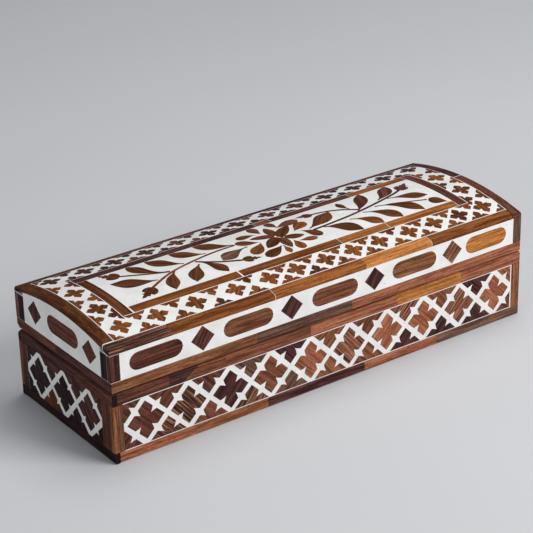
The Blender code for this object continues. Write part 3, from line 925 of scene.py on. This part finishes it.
def stroke(root, tip, bow, half_width, shares=None):
    """Outline of a stroke that bows so many mm to its left, with a half width at each share."""
    root, run = Vector(root), Vector(tip) - Vector(root)
    left = Vector((-run.y, run.x)).normalized()
    shares = shares or [step / STROKE_STEPS for step in range(STROKE_STEPS + 1)]
    points = [root + run * t + left * (4 * bow * t * (1 - t)) for t in shares]
    headings = [run + left * (4 * bow * (1 - 2 * t)) for t in shares]
    return ribbon(points, headings, [max(half_width(t), SMALLEST) for t in shares])


def leaf(root, tip, width, bow, lead=1.4):
    """Pointed at both ends. The greater its lead, the nearer to its tip it is fullest."""
    return stroke(root, tip, bow, lambda t: max(
        TAIL * (1 - t), width / 2 * max(0.0, math.sin(math.pi * t ** lead)) ** 1.05))


def tailed(root, tip, width, bow):
    """A leaf that starts as a long thin tail."""
    return leaf(root, tip, width, bow, lead=1.85)


def petal(root, tip, width, bow):
    """A full leaf with a blunt root."""
    return stroke(root, tip, bow, lambda t: width / 2 * math.sin(math.pi * (0.12 + 0.88 * t)) ** 0.75)


def drop(root, tip, width, bow):
    """A thin root that swells into a round end."""
    belly = 0.66

    def half(t):
        if t < belly:
            return width / 2 * (0.5 - 0.5 * math.cos(math.pi * t / belly)) ** 0.8
        return width / 2 * math.sqrt(max(0.0, 1 - ((t - belly) / (1 - belly)) ** 2))
    return stroke(root, tip, bow, half)


def bud(root, tip, width, bow):
    """A round calyx with three pairs of teeth that run out to a tip."""
    belly, teeth = 0.38, 3
    shares = [belly * step / 6 for step in range(7)]
    tooth = (1 - belly) / (teeth + 0.4)
    for k in range(teeth):
        shares += [belly + tooth * (k + 0.75), belly + tooth * (k + 0.8)]
    shares += [1.0]
    deep = {round(share, 6) for share in shares[8::2]}

    def half(t):
        if t <= belly:
            return width / 2 * math.sqrt(1 - ((belly - t) / belly) ** 2)
        fade = 1 - ((t - belly) / (1 - belly)) ** 1.2
        return width / 2 * fade * (0.5 if round(t, 6) in deep else 1.0)
    return stroke(root, tip, bow, half, shares)


def stem(points, width):
    """A thin strip along a smooth line through some points."""
    line = [Vector(point) for point in points]
    for _ in range(2):
        rounded = [line[0]]
        for a, b in zip(line, line[1:]):
            rounded += [a * 0.75 + b * 0.25, a * 0.25 + b * 0.75]
        line = rounded + [line[-1]]
    headings = [b - a for a, b in zip([line[0]] + line, line[1:] + [line[-1]])]
    return ribbon(line, headings, [width / 2] * len(line))


# %% [markdown]
# The drawing gives each stroke's root and tip, in mm from the left end and the front, its
# width and its bow. It is of oiled walnut where no wood is named.

# %% The drawing
strokes = [
    # the left spray
    (tailed, 73.5, 52.8, 58.8, 76.6, 9, 3.5),
    (leaf, 87.5, 56.5, 71, 75.5, 10, 1.6),
    (leaf, 105.5, 60.3, 88.5, 76.5, 10, 2.2),
    (leaf, 125.5, 60.3, 105.5, 77, 10.5, 2.4),
    (leaf, 63.2, 47.6, 38, 59.8, 11.6, 1.3),
    (leaf, 77, 51, 66, 32, 8.6, -1.7),
    (leaf, 94, 50.3, 81, 32.8, 9.6, -1.1),
    (tailed, 95, 53.8, 103.6, 32.8, 8, 1.4),
    (tailed, 130.5, 52.6, 108.2, 45.7, 10.4, -1.2, "grey walnut"),
    (bud, 48.8, 65.6, 38.5, 76, 10.5, 0.6),
    (bud, 56.3, 41.3, 43.5, 33.5, 9.6, 0.3),
    (bud, 118, 39.6, 130, 36.4, 7, 0.2),
    # the right spray
    (leaf, 176, 50.7, 200.8, 64.2, 11.3, -1.3),
    (leaf, 213.6, 59, 213, 72.4, 5, 1),
    (leaf, 216, 53, 233.5, 76, 9.4, -1.8, "rosewood"),
    (leaf, 236, 58.5, 254.5, 76, 9.8, -2.4, "rosewood"),
    (leaf, 184, 47, 203.2, 30.6, 11, 2.5),
    (tailed, 203.8, 46.3, 219.2, 30.8, 9, 2.4, "oiled sheesham"),
    (tailed, 216.6, 49.5, 234.3, 30.6, 9.8, 3),
    (tailed, 228, 51.8, 252, 30.8, 9.6, 4.4),
    (tailed, 242, 57, 266.6, 45.9, 9.2, 1),
    (bud, 256.4, 63, 268.2, 71, 9.6, -0.3, "rosewood"),
    (drop, 271.4, 31.1, 261.6, 39.8, 8.6, -0.4),
    (bud, 190.3, 67.4, 178.5, 70.2, 6.8, 0.3),
    # the ring
    (drop, 140.3, 53, 127, 61.2, 7, 0.6),
    (drop, 144.5, 63.8, 131.3, 65.3, 6.2, -0.9),
    (drop, 147.9, 62.5, 147.3, 75.6, 6.8, 0.3, "rosewood"),
    (drop, 140.5, 52.5, 127.4, 41.7, 8.4, 0.8, "oiled sheesham"),
    (drop, 148.8, 42.2, 132.2, 35.2, 8.2, 0.9),
    (leaf, 148.9, 41, 148, 31.2, 4.4, 0.4, "oiled sheesham"),
    (drop, 161.8, 64.3, 159.8, 75.8, 6, 0.2, "rosewood"),
    (drop, 160, 64.3, 178.4, 66.8, 8.2, 0.5, "rosewood"),
    (drop, 166, 53, 179.5, 61, 8.4, 0.6, "oiled sheesham"),
    (drop, 169.5, 51.8, 177.3, 39, 7.4, 0.9),
    (drop, 160.3, 41.3, 173.2, 38.7, 5.2, -0.3, "oiled sheesham"),
    (drop, 158.3, 44, 157.8, 31.5, 6.6, 0.3, "oiled sheesham"),
    # the flower
    (petal, 152.3, 55.2, 137.2, 60, 6, -0.4),
    (petal, 151.8, 53.2, 139.3, 43.6, 8, 0.6),
    (petal, 153.4, 55, 154.3, 69.2, 6.6, 0.2),
    (petal, 153.6, 51.2, 152.4, 36.4, 6.6, 0.1),
    (petal, 154.2, 51.8, 168.3, 62.8, 8, 0.8),
    (petal, 156.3, 49.8, 168.5, 46, 6.4, -0.4),
]
stems = [
    ([(126, 59.3), (110, 59), (95, 56.5), (80, 53), (70, 49.2), (60, 43.8), (55.5, 41.2)], 1.8,
     "oiled sheesham"),
    ([(75, 52.6), (70, 54.3), (60, 59), (48.5, 65.8)], 1.9, "oiled walnut"),
    ([(94, 54.5), (100, 49.3), (108, 44), (118.5, 39.4)], 1.9, "oiled walnut"),
    ([(177, 47.6), (190, 48.6), (210, 50.8), (230, 54.8), (250, 60), (257, 63)], 1.9, "dark rosewood"),
    ([(189, 67.8), (198, 66.4), (207.5, 62.4), (213, 58), (218, 54)], 1.9, "dark rosewood"),
    ([(261.5, 40.6), (250, 44.8), (238, 49.2)], 1.5, "oiled sheesham"),
]
drawing = []
for shape, x1, y1, x2, y2, width, bow, *named in strokes:
    lean = math.degrees(math.atan2(y2 - y1, x2 - x1))
    kind = named[0] if named else "oiled walnut"
    drawing.append((shape((x1, y1), (x2, y2), width, bow), kind, lean + dice.uniform(-15, 15)))
for points, width, kind in stems:
    drawing.append((stem(points, width), kind, 0))

# %% Laying the drawing into the lid
END_LINE, LONG_LINE = 0.4, 0.2
panel_low = (left_x + BAR + END_LINE, near_y + BAR + LONG_LINE)
panel_high = (right_x - BAR - END_LINE, far_y - BAR - LONG_LINE)
placed = []
for outline, kind, angle in drawing:
    outline = [(from_left(x), from_front(y)) for x, y in outline]
    placed.append((trimmed(outline, panel_low, panel_high), kind, angle))
lay_top("lid_flower_tiles", placed)
print(f"{len(placed)} tiles in the flower panel")

# %% [markdown]
# ## The carcass
# The walls, the bottom and the arched board are plain sealed mango wood, and show only when
# the lid is open. Their shapes in the frame are right, so they only get a better wood. The
# grain runs along each board, so the same wood is made twice, once with its pattern turned.

# %% Carcass wood
mango = ("#8B6B4A", "#A98860", "#BFA27B", 0.3)
carcass = {
    wood("mango_wood_along", *mango, turn=0): [
        "base_front_wall", "base_back_wall", "base_bottom_board", "lid_front_wall",
        "lid_back_wall", "lid_top_board"],
    wood("mango_wood_across", *mango, turn=90): [
        "base_left_wall", "base_right_wall", "lid_left_wall", "lid_right_wall"],
}


def finish_node(node, material):
    """Gives a CAD node its material."""
    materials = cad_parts[node].data.materials
    materials.clear()
    materials.append(material)


for material, nodes in carcass.items():
    for node in nodes:
        finish_node(node, material)
print("carcass boards:", sum(len(nodes) for nodes in carcass.values()))

# %% [markdown]
# ## Hinges
# The two butt hinges are pressed brass, tumbled and lacquered, and keep their CAD shapes.
# Tumbling leaves fine scratches every way, so the roughness wanders a little.

# %% Brass
TARNISH_SIZE = 3 * MM
SCRATCH_SIZE = 0.4 * MM
SCRATCH_DEPTH = 0.02 * MM

hinge_brass, tree, shader = new_material("tumbled_brass")
place = add(tree, "TexCoord").node.outputs["Object"]
tarnish = add(tree, "TexNoise", Vector=place, Scale=1 / TARNISH_SIZE, Detail=4)
scratches = add(tree, "TexNoise", Vector=place, Scale=1 / SCRATCH_SIZE, Detail=2, Distortion=2)
colour = add(tree, "Mix", tarnish, linear("#9C7434"), linear("#D9B36A"), data_type="RGBA")
dull = add(tree, "MapRange", Value=scratches, To_Min=0.22, To_Max=0.45)
bump = add(tree, "Bump", Height=scratches, Strength=0.15, Distance=SCRATCH_DEPTH)
fill(shader, Base_Color=colour, Roughness=dull, Normal=bump, Metallic=1)
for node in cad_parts:
    if node.startswith("hinge"):
        finish_node(node, hinge_brass)

# %% [markdown]
# ## Screws
# Each leaf is held by countersunk screws. The frame's screws have no slot, so each is copied
# and a saw cut is taken across its head with a Boolean.

# %% Slotted screws
SLOT_WIDTH = 0.35
SLOT_DEPTH = 0.35


def slot_screw(node):
    """A copy of a CAD screw with a slot across its head."""
    body = "lid" if "_lid_" in node else "base"
    low, high = (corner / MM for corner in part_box(node))
    centre = (low + high) / 2
    head = low.z if body == "lid" else high.z
    screw = copy_of(node, f"{node}_slotted")
    cut_low = (low.x - 1, centre.y - SLOT_WIDTH / 2, head - SLOT_DEPTH)
    cut_high = (high.x + 1, centre.y + SLOT_WIDTH / 2, head + SLOT_DEPTH)
    cutter = block("screw_slot_cutter", cut_low, cut_high)
    turn = Matrix.Rotation(math.radians(dice.uniform(0, 180)), 4, "Z")
    pivot = Matrix.Translation(centre * MM)
    cutter.matrix_world = pivot @ turn @ pivot.inverted()
    modify(screw, "BOOLEAN", operation="DIFFERENCE", object=cutter)
    bpy.data.objects.remove(cutter)
    screw.data.materials.clear()
    screw.data.materials.append(hinge_brass)
    return set_in(screw, body, "hinge_brass", node)


screws = [slot_screw(node) for node in sorted(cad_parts) if "_screw_" in node]
print(f"{len(screws)} slotted screws")

# %% [markdown]
# ## The felt
# The floor of the tray is lined with a sheet of wool felt, cut to fit and glued down. It is
# matted fibre with no weave, so its colour is mottled at a millimetre or so, its surface is
# slightly uneven, and loose fibres catch light at a flat angle, which the sheen gives.

# %% Felt lining
TUFT_SIZE, PATCH_SIZE, TUFT_HEIGHT = 0.8 * MM, 14 * MM, 0.25 * MM

felt, tree, shader = new_material("wool_felt")
place = add(tree, "TexCoord").node.outputs["Object"]
tufts = add(tree, "TexNoise", Vector=place, Scale=1 / TUFT_SIZE, Detail=6, Roughness=0.7)
patches = add(tree, "TexNoise", Vector=place, Scale=1 / PATCH_SIZE)
both = add(tree, "Math", patches, 0.35, tufts, operation="MULTIPLY_ADD")
share = add(tree, "MapRange", Value=both, From_Min=0.4, From_Max=1)
colour = add(tree, "Mix", share, linear("#3B0F12"), linear("#7A2A2C"), data_type="RGBA")
bump = add(tree, "Bump", Height=tufts, Strength=0.8, Distance=TUFT_HEIGHT)
fill(shader, Base_Color=colour, Normal=bump, Roughness=0.95, Sheen_Weight=0.5, Sheen_Roughness=0.5)

# %% The sheet
FELT_GRID = 3.0
FELT_SWELL = 0.12
felt_low, felt_high = (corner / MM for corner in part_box("base_floor_lining"))
felt_size = felt_high - felt_low
columns, rows = round(felt_size.x / FELT_GRID), round(felt_size.y / FELT_GRID)
only()
bpy.ops.mesh.primitive_grid_add(x_subdivisions=columns, y_subdivisions=rows, size=1,
                                location=(0, 0, felt_high.z * MM))
lining = bpy.context.object
lining.name = "felt_lining_sheet"
lining.scale = (felt_size.x * MM, felt_size.y * MM, 1)
bpy.ops.object.transform_apply()
for vertex in lining.data.vertices:
    vertex.co.z += dice.uniform(-FELT_SWELL, 0) * MM
modify(lining, "SOLIDIFY", thickness=(felt_size.z - FELT_SWELL) * MM)
lining.data.materials.append(felt)
set_in(lining, "base", "felt_lining", "base_floor_lining")
print(f"the felt is {felt_size.x:.1f} by {felt_size.y:.1f} mm")

# %% [markdown]
# ## Floor, light and camera
# The box stands on a pale floor. A broad lamp in front and to the right lights the long
# side, a softer one hangs overhead, and a weak one keeps the shaded end readable. The camera
# looks at the front and the left end from above, with a long lens.

# %% Floor
only()
bpy.ops.mesh.primitive_plane_add(size=8, location=(0, 0, 0))
floor = bpy.context.object
floor.name = "floor"
paper, tree, shader = new_material("pale_paper")
flecks = add(tree, "TexNoise", Vector=add(tree, "TexCoord").node.outputs["Object"], Scale=3)
colour = add(tree, "Mix", flecks, linear("#C9CACC"), linear("#CFD0D2"), data_type="RGBA")
fill(shader, Base_Color=colour, Roughness=0.9)
floor.data.materials.append(paper)

# %% Light


def lamp(name, place, size, watts):
    """A square soft lamp that points at the box."""
    only()
    bpy.ops.object.light_add(type="AREA", location=place)
    made = bpy.context.object
    made.name = name
    made.data.size = size
    made.data.energy = watts
    towards = Vector((0, 0, 0.04)) - Vector(place)
    made.rotation_euler = towards.to_track_quat("-Z", "Y").to_euler()
    return made


lamp("front_lamp", (0.75, -1.25, 1.0), size=0.9, watts=23)
lamp("overhead_lamp", (0.4, 0.15, 1.5), size=1.0, watts=8.8)
lamp("end_lamp", (-1.4, -0.5, 0.6), size=0.8, watts=4.3)
world = bpy.data.worlds.new("studio")
bpy.context.scene.world = world
world.use_nodes = True
fill(world.node_tree.nodes["Background"], Color=linear("#DCE0E8"), Strength=0.28)

# %% Camera
camera_data = bpy.data.cameras.new("camera")
camera_data.sensor_width = 36
camera_data.lens = 127.147
camera = bpy.data.objects.new("camera", camera_data)
bpy.context.collection.objects.link(camera)
camera.location = (-0.607644, -0.846514, 0.550227)
camera.rotation_euler = [math.radians(angle) for angle in (64.758, 1.2776, -35.91674)]
bpy.context.scene.camera = camera
bpy.context.scene.view_settings.view_transform = "Standard"
